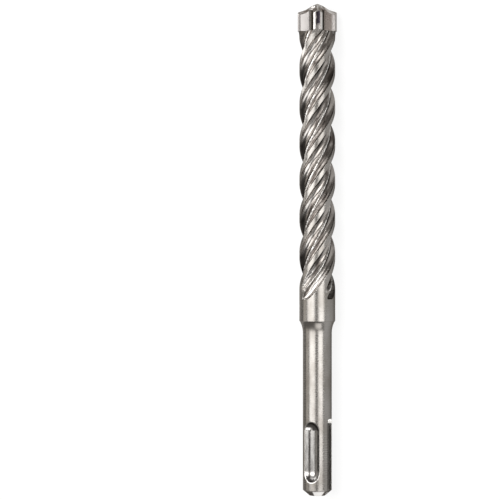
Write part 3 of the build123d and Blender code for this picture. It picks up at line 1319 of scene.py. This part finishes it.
        # Painted shade at the blades' roots, where the flanks meet in the fillets
        root = 1 - ease(out - self.sizes.blade_half_thickness, wear.root)
        return {
            "roof": on_roof,
            "bevel": bevel * flanks * np.repeat(wear.bright_bevels, per_blade),
            "stained": bevel * flanks * np.repeat(wear.stained_bevels, per_blade),
            "root": root * flanks,
            "satin_and_sheen": window * lit * flanks,
            "tinted": (1 - end) * (1 - bevel) * ~turning * flanks * fade,
            "seam": np.clip(seam, 0.0, 1.0) * flanks * (1 - end),
            "scorch": scorch * flanks,
            "ridge": np.clip(ridge + 1 - ease(radius, wear.point), 0.0, 1.0) * on_roof,
        }

    def dress(self) -> None:
        """Give the finish, hide the CAD part that the skin stands in for, and hang the skin on the
        body.
        """
        self.piece.data.materials.append(Carbide().material())
        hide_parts("carbide_head")
        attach(self.piece, BODY)


@dataclass(frozen=True)
class Texture:
    """Noise of a finish: cells per metre along x, y and z, layers of detail, roughness.

    It lies on Object coordinates, or on the places stored under a name on the mesh.
    """

    cells: tuple[float, float, float]
    detail: float = 4.0
    rough: float = 0.55
    places: str = ""


@dataclass(frozen=True)
class Relief:
    """Bump of a finish: its depth in metres and its strength."""

    depth: float
    strength: float


class Nodes:
    """Small helper that lays out one material's nodes."""

    specular_tint: Colour = (0.42, 0.40, 0.38)

    def __init__(self, name: str) -> None:
        """Start an empty material with a Principled surface.

        Args:
            name: name of the material.
        """
        self.material = bpy.data.materials.new(name)
        self.material.use_nodes = True
        self.tree = self.material.node_tree
        self.tree.nodes.clear()
        self.shader = self.tree.nodes.new("ShaderNodeBsdfPrincipled")
        self.shader.inputs["Specular Tint"].default_value = (*self.specular_tint, 1.0)
        self.output = self.tree.nodes.new("ShaderNodeOutputMaterial")
        self.link(self.shader.outputs["BSDF"], self.output.inputs["Surface"])

    def add(self, kind: str, **settings: object) -> bpy.types.Node:
        """Add a node and set its own properties.

        Args:
            kind: type of the node.
            settings: values of its properties by name.

        Returns:
            The node.
        """
        node = self.tree.nodes.new(kind)
        for key, value in settings.items():
            setattr(node, key, value)
        return node

    def link(self, source: Socket, target: Socket) -> None:
        """Join two sockets."""
        self.tree.links.new(source, target)

    def feed(self, value: Socket | Colour | float, target: Socket) -> None:
        """Give a socket its input: another socket, a colour or a number.

        Args:
            value: what the socket takes.
            target: the socket.
        """
        if isinstance(value, bpy.types.NodeSocket):
            self.link(value, target)
        elif isinstance(value, tuple):
            target.default_value = (*value, 1.0)
        else:
            target.default_value = value

    def surface(
        self, colour: Socket, rough: Socket | float, metallic: Socket | float, normal: Socket
    ) -> bpy.types.Material:
        """Feed the Principled surface.

        Args:
            colour: base colour.
            rough: roughness.
            metallic: share of metal.
            normal: bumped normal.

        Returns:
            The finished material.
        """
        self.feed(colour, self.shader.inputs["Base Color"])
        self.feed(rough, self.shader.inputs["Roughness"])
        self.feed(metallic, self.shader.inputs["Metallic"])
        self.feed(normal, self.shader.inputs["Normal"])
        return self.material

    def noise(self, texture: Texture) -> Socket:
        """Noise on stretched coordinates.

        Args:
            texture: how it is laid out.

        Returns:
            The noise, between 0 and 1.
        """
        if texture.places:
            source = self.add("ShaderNodeAttribute", attribute_name=texture.places)
            places = source.outputs["Vector"]
        else:
            places = self.add("ShaderNodeTexCoord").outputs["Object"]
        mapping = self.add("ShaderNodeMapping")
        mapping.inputs["Scale"].default_value = texture.cells
        self.link(places, mapping.inputs["Vector"])
        noise = self.add("ShaderNodeTexNoise")
        noise.inputs["Scale"].default_value = 1.0
        noise.inputs["Detail"].default_value = texture.detail
        noise.inputs["Roughness"].default_value = texture.rough
        self.link(mapping.outputs["Vector"], noise.inputs["Vector"])
        return noise.outputs["Fac"]

    def spread(self, source: Socket, target: Span, useful: Span = (0.3, 0.7)) -> Socket:
        """Map a value's useful range onto another one, and hold it at both ends.

        Args:
            source: the value.
            target: what the ends of the useful range become.
            useful: range of the value that is used.

        Returns:
            The mapped value.
        """
        node = self.add("ShaderNodeMapRange")
        node.inputs["From Min"].default_value, node.inputs["From Max"].default_value = useful
        node.inputs["To Min"].default_value, node.inputs["To Max"].default_value = target
        self.link(source, node.inputs["Value"])
        return node.outputs["Result"]

    def mix(self, share: Socket, first: Socket | Colour, second: Socket | Colour) -> Socket:
        """Blend two colours by a share.

        Args:
            share: 0 for the first colour, 1 for the second.
            first: colour at 0.
            second: colour at 1.

        Returns:
            The blended colour.
        """
        first_colour, second_colour, result_colour = 6, 7, 2
        node = self.add("ShaderNodeMix", data_type="RGBA")
        self.link(share, node.inputs["Factor"])
        self.feed(first, node.inputs[first_colour])
        self.feed(second, node.inputs[second_colour])
        return node.outputs[result_colour]

    def maths(self, operation: str, first: Socket | float, second: Socket | float) -> Socket:
        """Arithmetic on two values.

        Args:
            operation: what is done with them.
            first: first value.
            second: second value.

        Returns:
            The result.
        """
        node = self.add("ShaderNodeMath", operation=operation)
        self.feed(first, node.inputs[0])
        self.feed(second, node.inputs[1])
        return node.outputs["Value"]

    def scaled(self, name: str, share: float) -> Socket:
        """Value stored on the mesh's points, times a share."""
        return self.maths("MULTIPLY", self.attribute(name), share)

    def attribute(self, name: str) -> Socket:
        """Value stored on the mesh's points."""
        return self.add("ShaderNodeAttribute", attribute_name=name).outputs["Fac"]

    def darken(self, colour: Socket, name: str, share: float) -> Socket:
        """Scale a colour down where a mark is 1.

        Args:
            colour: the colour.
            name: name of the mark.
            share: what is left of the colour there.

        Returns:
            The darkened colour.
        """
        node = self.add("ShaderNodeVectorMath", operation="SCALE")
        self.link(colour, node.inputs[0])
        self.link(self.spread(self.attribute(name), (1.0, share), WHOLE), node.inputs["Scale"])
        return node.outputs["Vector"]

    def bump(self, height: Socket, relief: Relief, under: Socket | None = None) -> Socket:
        """Bump of a height, laid over an earlier one.

        Args:
            height: height of the surface, between 0 and 1.
            relief: how strongly it shows.
            under: normal that the earlier bump gives.

        Returns:
            The bumped normal.
        """
        node = self.add("ShaderNodeBump")
        node.inputs["Strength"].default_value = relief.strength
        node.inputs["Distance"].default_value = relief.depth
        self.link(height, node.inputs["Height"])
        if under is not None:
            self.link(under, node.inputs["Normal"])
        return node.outputs["Normal"]


@dataclass(frozen=True)
class GroundSteel:
    """Ground outside of the bar: fine rings round the axis, faint stains, bright edges."""

    colour: Colour = (0.255, 0.243, 0.229)
    stain: Colour = (0.19, 0.175, 0.158)
    bright: Colour = (0.60, 0.58, 0.555)
    # Colour of the painted highlight on the striking end's chamfer
    chamfer_highlight: Colour = (0.92, 0.90, 0.88)
    stains: Texture = Texture((260, 120, 260), detail=6.0)
    rings: Texture = Texture((90, 5200, 90), detail=3.0)
    stained: Span = (0.42, 0.74)
    edge_shares: Span = (0.0, 0.8)
    chamfer_shade_share: float = 0.4
    under_share: float = 0.58
    rough: Span = (0.23, 0.31)
    ring_rough: Span = (-0.03, 0.05)
    relief: Relief = Relief(0.00001, 0.04)

    def material(self) -> bpy.types.Material:
        """Lay out the nodes: stains, bright edges, painted light and shade on the striking end's
        chamfer, then painted shade on the lower side.

        Returns:
            The material.
        """
        nodes = Nodes("ground_steel")
        stains, rings = nodes.noise(self.stains), nodes.noise(self.rings)
        colour = nodes.mix(nodes.spread(stains, WHOLE, self.stained), self.colour, self.stain)
        edge = nodes.spread(nodes.attribute("edge_wear"), self.edge_shares, WORN_EDGE)
        colour = nodes.mix(edge, colour, self.bright)
        # Painted highlight on the striking end's chamfer, then painted shade on the rest of its ring
        colour = nodes.mix(nodes.attribute("chamfer"), colour, self.chamfer_highlight)
        colour = nodes.darken(colour, "chamfer_shade", self.chamfer_shade_share)
        # Painted shade on the lower side of the lying bar
        colour = nodes.darken(colour, "under", self.under_share)
        fine = nodes.spread(rings, self.ring_rough)
        rough = nodes.maths("ADD", nodes.spread(stains, self.rough), fine)
        return nodes.surface(colour, rough, 1.0, nodes.bump(rings, self.relief))


@dataclass(frozen=True)
class FluteSteel:
    """Milled flutes: streaks along them, brown-grey patches, and a bright broken crest, partly a
    painted highlight.
    """

    colour: Colour = (0.335, 0.310, 0.288)
    # Colour of the painted light on the channel walls and on the right-hand shoulder flanks
    painted_light: Colour = (0.38, 0.366, 0.352)
    # Colour of the painted sheen on the trailing run-outs
    runout_sheen: Colour = (0.46, 0.44, 0.42)
    patch_and_shade: Colour = (0.075, 0.064, 0.057)
    bright: Colour = (0.84, 0.82, 0.79)
    flank: Colour = (0.20, 0.178, 0.155)
    # Colour of the painted shade in the run-out hollows, striped by the cutter marks of the next
    # colour
    runout_shade: Colour = (0.020, 0.018, 0.016)
    band: Colour = (0.085, 0.078, 0.070)
    patches: Texture = Texture((330, 330, 150), detail=5.0, rough=0.62, places="unwound")
    streaks: Texture = Texture((2600, 2600, 190), detail=3.0, places="unwound")
    waves: Texture = Texture((520, 520, 260), detail=2.0, places="unwound")
    chatter: Texture = Texture((1050, 800, 1050), detail=5.0, rough=0.7)
    bands: Texture = Texture((160, 1500, 160), detail=1.0)
    grain: Texture = Texture((3800, 2600, 3800), detail=4.0)
    patched: Span = (0.45, 0.62)
    core_share: float = 0.75
    wall_share: float = 0.8
    shade_depths: Span = (0.0, 0.08)
    shade_most: float = 0.95
    banded: Span = (0.47, 0.6)
    edge_shares: Span = (0.0, 0.85)
    gap_shares: Span = (0.5, 0.0)
    gapped: Span = (0.42, 0.54)
    ragged_shares: Span = (0.1, 1.0)
    ragged: Span = (0.43, 0.56)
    under_share: float = 0.8
    down_share: float = 0.22
    gloom_share: float = 0.22
    rough: Span = (0.17, 0.33)
    grain_rough: Span = (-0.03, 0.05)
    wall_polish: float = 0.10
    flank_rough: float = 0.20
    wave_relief: Relief = Relief(0.00010, 0.8)
    streak_relief: Relief = Relief(0.00002, 0.4)
    crest_relief: Relief = Relief(0.0003, 0.9)
    band_relief: Relief = Relief(0.0003, 0.9)
    grain_relief: Relief = Relief(0.00002, 0.35)

    def material(self) -> bpy.types.Material:
        """Lay out the nodes: patches, painted light, painted shade in the run-outs, worn edges, the
        broken crest, then painted shade.

        Returns:
            The material.
        """
        nodes = Nodes("flute_steel")
        patches, bands = nodes.noise(self.patches), nodes.noise(self.bands)
        chatter, grain = nodes.noise(self.chatter), nodes.noise(self.grain)
        crest = nodes.attribute("crest")
        # Painted shade in the run-out hollows, deepest in the channels and striped by cutter marks
        depth = nodes.spread(nodes.attribute("depth"), (0.0, self.shade_most), self.shade_depths)
        runout_shade = nodes.maths("MULTIPLY", nodes.attribute("runout"), depth)
        # Painted shade in the trailing channels, laid over the brown-grey patches
        core = nodes.scaled("core", self.core_share)
        patchy = nodes.maths("ADD", nodes.spread(patches, WHOLE, self.patched), core)
        colour = nodes.mix(nodes.maths("MINIMUM", patchy, 1.0), self.colour, self.patch_and_shade)
        # Painted light on the leading channels' steep walls on the top side
        colour = nodes.mix(nodes.scaled("wall", self.wall_share), colour, self.painted_light)
        # Painted sheen on the trailing run-outs on the top side
        colour = nodes.mix(nodes.attribute("lit_runout"), colour, self.runout_sheen)
        shaded_runout = nodes.mix(nodes.spread(bands, WHOLE, self.banded), self.runout_shade, self.band)
        colour = nodes.mix(runout_shade, colour, shaded_runout)
        # Bright edges are held back in the painted shade of the run-outs
        lit = nodes.maths("SUBTRACT", 1.0, nodes.attribute("shadowed"))
        edge = nodes.maths("MULTIPLY", nodes.attribute("edge_wear"), lit)
        colour = nodes.mix(nodes.spread(edge, self.edge_shares, WORN_EDGE), colour, self.bright)
        # The crest: dark gaps and bright chatter, partly wear and partly a painted highlight
        gaps = nodes.spread(chatter, self.gap_shares, self.gapped)
        colour = nodes.mix(nodes.maths("MULTIPLY", crest, gaps), colour, self.patch_and_shade)
        ragged = nodes.spread(chatter, self.ragged_shares, self.ragged)
        colour = nodes.mix(nodes.maths("MULTIPLY", crest, ragged), colour, self.bright)
        colour = nodes.mix(nodes.attribute("flank"), colour, self.flank)
        # Painted light on the shoulders' flanks on the right
        colour = nodes.mix(nodes.attribute("lit_flank"), colour, self.painted_light)
        # Painted shade on the lower side of the lying bar
        colour = nodes.darken(colour, "under", self.under_share)
        # Painted shade on faces turned to the floor
        colour = nodes.darken(colour, "down", self.down_share)
        # Painted shade on the leading channels' steep walls on the lower side
        colour = nodes.darken(colour, "gloom", self.gloom_share)
        fine = nodes.spread(grain, self.grain_rough)
        rough = nodes.maths("ADD", nodes.spread(patches, self.rough), fine)
        rough = nodes.maths("SUBTRACT", rough, nodes.scaled("wall", self.wall_polish))
        rough = nodes.maths("ADD", rough, nodes.scaled("flank", self.flank_rough))
        normal = nodes.bump(nodes.noise(self.waves), self.wave_relief)
        normal = nodes.bump(nodes.noise(self.streaks), self.streak_relief, normal)
        broken = nodes.maths("MULTIPLY", chatter, crest)
        normal = nodes.bump(broken, self.crest_relief, normal)
        normal = nodes.bump(nodes.maths("MULTIPLY", bands, runout_shade), self.band_relief, normal)
        normal = nodes.bump(grain, self.grain_relief, normal)
        return nodes.surface(colour, rough, 1.0, normal)


@dataclass(frozen=True)
class PocketSteel:
    """Milled grooves of the shank: floors with fine cutter marks, and painted highlights at the
    grooves' ends.
    """

    colour: Colour = (0.172, 0.167, 0.161)
    grime_and_shade: Colour = (0.075, 0.07, 0.066)
    bright: Colour = (0.66, 0.64, 0.62)
    glint: Colour = (0.96, 0.95, 0.93)
    marks: Texture = Texture((900, 260, 900), detail=5.0)
    grain: Texture = Texture((3000, 700, 3000), detail=3.0)
    grime_shares: Span = (0.0, 0.5)
    grimy: Span = (0.45, 0.75)
    edge_shares: Span = (0.0, 0.8)
    driving_share: float = 0.42
    rough: Span = (0.16, 0.28)
    metal_shares: Span = (1.0, 0.15)
    relief: Relief = Relief(0.00003, 0.3)

    def material(self) -> bpy.types.Material:
        """Lay out the nodes: cutter marks, bright edges, then painted highlights at the grooves'
        ends.

        Returns:
            The material.
        """
        nodes = Nodes("pocket_steel")
        marks, glint = nodes.noise(self.marks), nodes.attribute("glint")
        grimy = nodes.spread(marks, self.grime_shares, self.grimy)
        colour = nodes.mix(grimy, self.colour, self.grime_and_shade)
        edge = nodes.spread(nodes.attribute("edge_wear"), self.edge_shares, WORN_EDGE)
        colour = nodes.mix(edge, colour, self.bright)
        colour = nodes.mix(nodes.scaled("driving", self.driving_share), colour, self.bright)
        # Painted highlights at the ends of the closed grooves
        gleam = nodes.maths("MINIMUM", nodes.attribute("gleam"), 1.0)
        colour = nodes.mix(gleam, colour, self.bright)
        # Painted highlight at the top of the open groove's slope, made less metallic so that the
        # lamps light it white
        colour = nodes.mix(glint, colour, self.glint)
        metallic = nodes.spread(glint, self.metal_shares, WHOLE)
        normal = nodes.bump(nodes.noise(self.grain), self.relief)
        return nodes.surface(colour, nodes.spread(marks, self.rough), metallic, normal)


@dataclass(frozen=True)
class Carbide:
    """Carbide blades: one flank satin with a painted reflection, the other tinted by heat, ends
    scorched mid-way.
    """

    colour: Colour = (0.27, 0.252, 0.24)
    satin_and_sheen: Colour = (0.60, 0.575, 0.56)
    tint: Colour = (0.205, 0.178, 0.162)
    scorch: Colour = (0.035, 0.030, 0.038)
    bright: Colour = (0.55, 0.535, 0.515)
    seam: Colour = (0.10, 0.09, 0.085)
    stain: Colour = (0.13, 0.124, 0.12)
    grime_and_shade: Colour = (0.030, 0.026, 0.022)
    roof: Colour = (0.50, 0.48, 0.46)
    mottle: Texture = Texture((900, 500, 900), detail=6.0)
    cloud: Texture = Texture((420, 300, 420), detail=3.0)
    grain: Texture = Texture((5200, 2600, 5200), detail=3.0)
    satin_and_sheen_shares: Span = (0.75, 1.0)
    scorch_shares: Span = (1.6, 0.15)
    scorched: Span = (0.46, 0.66)
    clouded: Span = (0.42, 0.6)
    seam_share: float = 0.8
    rough: Span = (0.22, 0.34)
    satin_rough: Span = (0.0, 0.22)
    relief: Relief = Relief(0.00002, 0.15)

    def material(self) -> bpy.types.Material:
        """Lay out the nodes: flanks with a painted reflection, roof, roots with painted shade,
        chamfers, seams, scorch, then ridges.

        Returns:
            The material.
        """
        nodes = Nodes("ground_carbide")
        mottle, cloud = nodes.noise(self.mottle), nodes.noise(self.cloud)
        # Painted reflection on the flanks, with a satin roughness
        satin_and_sheen = nodes.spread(cloud, self.satin_and_sheen_shares)
        satin_and_sheen = nodes.maths("MULTIPLY", nodes.attribute("satin_and_sheen"), satin_and_sheen)
        scorch = nodes.spread(mottle, self.scorch_shares, self.scorched)
        scorch = nodes.maths("MULTIPLY", nodes.attribute("scorch"), scorch)
        roof = nodes.mix(nodes.spread(cloud, WHOLE, self.clouded), self.roof, self.tint)
        colour = nodes.mix(nodes.attribute("tinted"), self.colour, self.tint)
        colour = nodes.mix(satin_and_sheen, colour, self.satin_and_sheen)
        colour = nodes.mix(nodes.attribute("roof"), colour, roof)
        # Painted shade at the blades' roots
        colour = nodes.mix(nodes.attribute("root"), colour, self.grime_and_shade)
        colour = nodes.mix(nodes.attribute("bevel"), colour, self.bright)
        colour = nodes.mix(nodes.attribute("stained"), colour, self.stain)
        colour = nodes.mix(nodes.scaled("seam", self.seam_share), colour, self.seam)
        colour = nodes.mix(nodes.maths("MINIMUM", scorch, 1.0), colour, self.scorch)
        colour = nodes.mix(nodes.attribute("ridge"), colour, self.bright)
        satin_rough = nodes.spread(satin_and_sheen, self.satin_rough, WHOLE)
        rough = nodes.maths("ADD", nodes.spread(mottle, self.rough), satin_rough)
        normal = nodes.bump(nodes.noise(self.grain), self.relief)
        return nodes.surface(colour, rough, 1.0, normal)


@dataclass(frozen=True)
class PaleFloor:
    """Plain white ground that keeps a faint shadow of the bit."""

    colour: Colour = (0.90, 0.90, 0.90)
    shade: Colour = (0.87, 0.87, 0.87)
    clouds: Texture = Texture((6, 6, 6))
    rough: float = 0.9
    whiteness: float = 0.84

    def material(self) -> bpy.types.Material:
        """Lay out the nodes: a lit surface under the white that eyes, metal and glass see.

        Returns:
            The material.
        """
        nodes = Nodes("pale_floor")
        colour = nodes.mix(nodes.noise(self.clouds), self.colour, self.shade)
        nodes.feed(colour, nodes.shader.inputs["Base Color"])
        nodes.feed(self.rough, nodes.shader.inputs["Roughness"])
        path = nodes.add("ShaderNodeLightPath").outputs
        seen = nodes.maths("ADD", path["Is Camera Ray"], path["Is Glossy Ray"])
        seen = nodes.maths("ADD", seen, path["Is Transmission Ray"])
        share = nodes.maths("MULTIPLY", nodes.maths("MINIMUM", seen, 1.0), self.whiteness)
        white = nodes.add("ShaderNodeEmission")
        white.inputs["Strength"].default_value = 1.0
        mixed = nodes.add("ShaderNodeMixShader")
        nodes.link(share, mixed.inputs["Fac"])
        nodes.link(nodes.shader.outputs["BSDF"], mixed.inputs[1])
        nodes.link(white.outputs["Emission"], mixed.inputs[2])
        nodes.link(mixed.outputs["Shader"], nodes.output.inputs["Surface"])
        return nodes.material


@dataclass(frozen=True)
class Softbox:
    """Large soft lamp that faces the bit's middle.

    It spans `low` to `high` about the bit's axis, and `foot` to `head` along it, both in
    degrees as seen from the bit's middle.
    """

    name: str
    low: float
    high: float
    foot: float
    head: float
    radiance: float
    colour: Colour = (1.0, 1.0, 1.0)
    distance: float = 400.0


@dataclass
class Studio:
    """Floor, lamps, surrounding light and camera."""

    lying: Lying
    distance: float = 600.0
    lens: float = 125.0
    sensor_width: float = 36.0
    nearest: float = 10.0
    farthest: float = 20000.0
    axis_shift: float = 23.26
    view_height: float = 84.66
    floor_half: float = 3000.0
    surround: Colour = (0.31, 0.298, 0.285)
    surround_strength: float = 1.0
    softboxes: tuple[Softbox, ...] = (
        Softbox("lamp_overhead", -67.0, -19.0, -19.5, 19.5, 4.1),
        Softbox("lamp_side", 5.0, 42.0, -19.5, 19.5, 3.9),
        Softbox("lamp_fill", -102.0, -78.0, -22.0, 8.0, 1.0, (1.0, 0.95, 0.88)),
        Softbox("lamp_back", -122.0, -84.0, 12.0, 36.0, 5.5),
        Softbox("lamp_head", -82.0, -24.0, 30.0, 54.0, 3.2),
        Softbox("lamp_foot", -16.0, 32.0, -52.0, -29.0, 2.9),
    )

    def direction(self, angle: float) -> np.ndarray:
        """World direction at an angle about the bit's axis from the front blade."""
        turn = math.radians(angle)
        return math.cos(turn) * self.lying.front + math.sin(turn) * self.lying.right

    def axis_point(self, height: float) -> np.ndarray:
        """World point of the axis at a height, in metres."""
        return (height * ALONG + self.lying.foot) * METRE

    def floor(self) -> None:
        """Lay the ground as one square at height 0."""
        half = self.floor_half * METRE
        corners = [(-half, -half, 0.0), (half, -half, 0.0), (half, half, 0.0), (-half, half, 0.0)]
        mesh = bpy.data.meshes.new("floor")
        mesh.from_pydata(corners, [], [(0, 1, 2, 3)])
        mesh.materials.append(PaleFloor().material())
        ground = bpy.data.objects.new("floor", mesh)
        bpy.context.scene.collection.objects.link(ground)

    def lamps(self) -> None:
        """Hang the softboxes.

        Formula: a lamp's sides are twice its distance times the tangent of half the angle
        that it spans, and its power is radiance times pi times its area.
        """
        middle = self.axis_point(self.lying.sizes.tip_height / 2)
        for box in self.softboxes:
            lift = math.radians((box.foot + box.head) / 2)
            level = self.direction((box.low + box.high) / 2)
            towards = level * math.cos(lift) + ALONG * math.sin(lift)
            reached = box.distance * METRE
            lamp = bpy.data.lights.new(box.name, "AREA")
            lamp.shape = "RECTANGLE"
            half_turn, half_rise = (box.high - box.low) / 2, (box.head - box.foot) / 2
            lamp.size = 2 * reached * math.tan(math.radians(half_turn)) * math.cos(lift)
            lamp.size_y = 2 * reached * math.tan(math.radians(half_rise))
            lamp.energy = box.radiance * math.pi * lamp.size * lamp.size_y
            lamp.color = box.colour
            holder = bpy.data.objects.new(box.name, lamp)
            side = np.cross(ALONG, level)
            spot = middle + towards * reached
            holder.matrix_world = facing(side, np.cross(towards, side), towards, spot)
            bpy.context.scene.collection.objects.link(holder)

    def world(self) -> None:
        """Set an even warm grey surrounding."""
        world = bpy.data.worlds.new("surround")
        world.use_nodes = True
        background = world.node_tree.nodes["Background"]
        background.inputs["Color"].default_value = (*self.surround, 1.0)
        background.inputs["Strength"].default_value = self.surround_strength
        bpy.context.scene.world = world

    def camera(self) -> None:
        """Look at the front blade's side, with the bit right of the middle."""
        data = bpy.data.cameras.new("camera")
        data.lens = self.lens
        data.sensor_width = self.sensor_width
        data.clip_start = self.nearest * METRE
        data.clip_end = self.farthest * METRE
        holder = bpy.data.objects.new("camera", data)
        right, back = self.lying.right, self.lying.front
        target = self.axis_point(self.view_height) - right * self.axis_shift * METRE
        spot = target + back * self.distance * METRE
        holder.matrix_world = facing(right, ALONG, back, spot)
        bpy.context.scene.collection.objects.link(holder)
        bpy.context.scene.camera = holder

    def build(self) -> None:
        """Set up everything round the bit."""
        self.floor()
        self.lamps()
        self.world()
        self.camera()
        bpy.context.scene.view_settings.view_transform = "Standard"


def main() -> None:
    """Build the studio and the two pieces."""
    sizes = BitSizes()
    lying = Lying(sizes)
    Studio(lying).build()
    for part in (SteelBody(sizes, lying), CarbideHead(sizes, lying)):
        part.build()
        part.dress()
        mesh = part.piece.data
        log.info("%s: %d points, %d faces", part.piece.name, len(mesh.vertices), len(mesh.polygons))


if __name__ == "__main__":
    main()
